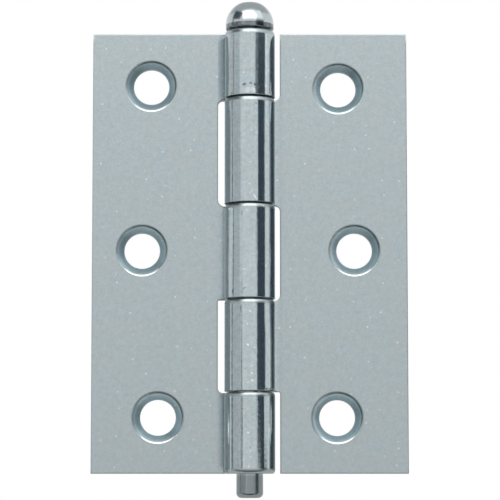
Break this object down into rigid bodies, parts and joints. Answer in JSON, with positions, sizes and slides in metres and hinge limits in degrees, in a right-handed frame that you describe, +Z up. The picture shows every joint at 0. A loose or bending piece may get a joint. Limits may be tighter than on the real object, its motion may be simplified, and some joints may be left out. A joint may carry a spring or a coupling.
{
  "type": "narrow butt hinge",
  "caption": "Steel butt hinge lying flat open: two narrow leaves rolled into interleaved knuckles round a loose button-head pin, with countersunk screw holes in a zigzag.",
  "frame": {"origin": "on the pin's axis, half-way up the leaves", "axes": "+Z up the pin towards its head, -Y out of the countersunk faces, +X across the door leaf, with both leaves lying open in one plane"},
  "size_m": [0.05, 0.008, 0.0785],
  "materials": {
    "leaf_zinc": "satin zinc plate with a faint blue passivation",
    "pin_zinc": "bright zinc plate"
  },
  "bodies": {
    "frame_leaf": {"frame_leaf": "leaf_zinc"},
    "door_leaf": {"door_leaf": "leaf_zinc"},
    "loose_pin": {"loose_pin": "pin_zinc"}
  },
  "joints": [
    {"name": "leaf_swing", "type": "hinge", "parent": "frame_leaf", "child": "door_leaf", "pos_m": [0, 0, 0], "axis": [0, 0, -1], "range_deg": [-105, 180]},
    {"name": "pin_lift", "type": "slide", "parent": "frame_leaf", "child": "loose_pin", "axis": [0, 0, 1], "range_m": [0, 0.075]}
  ]
}
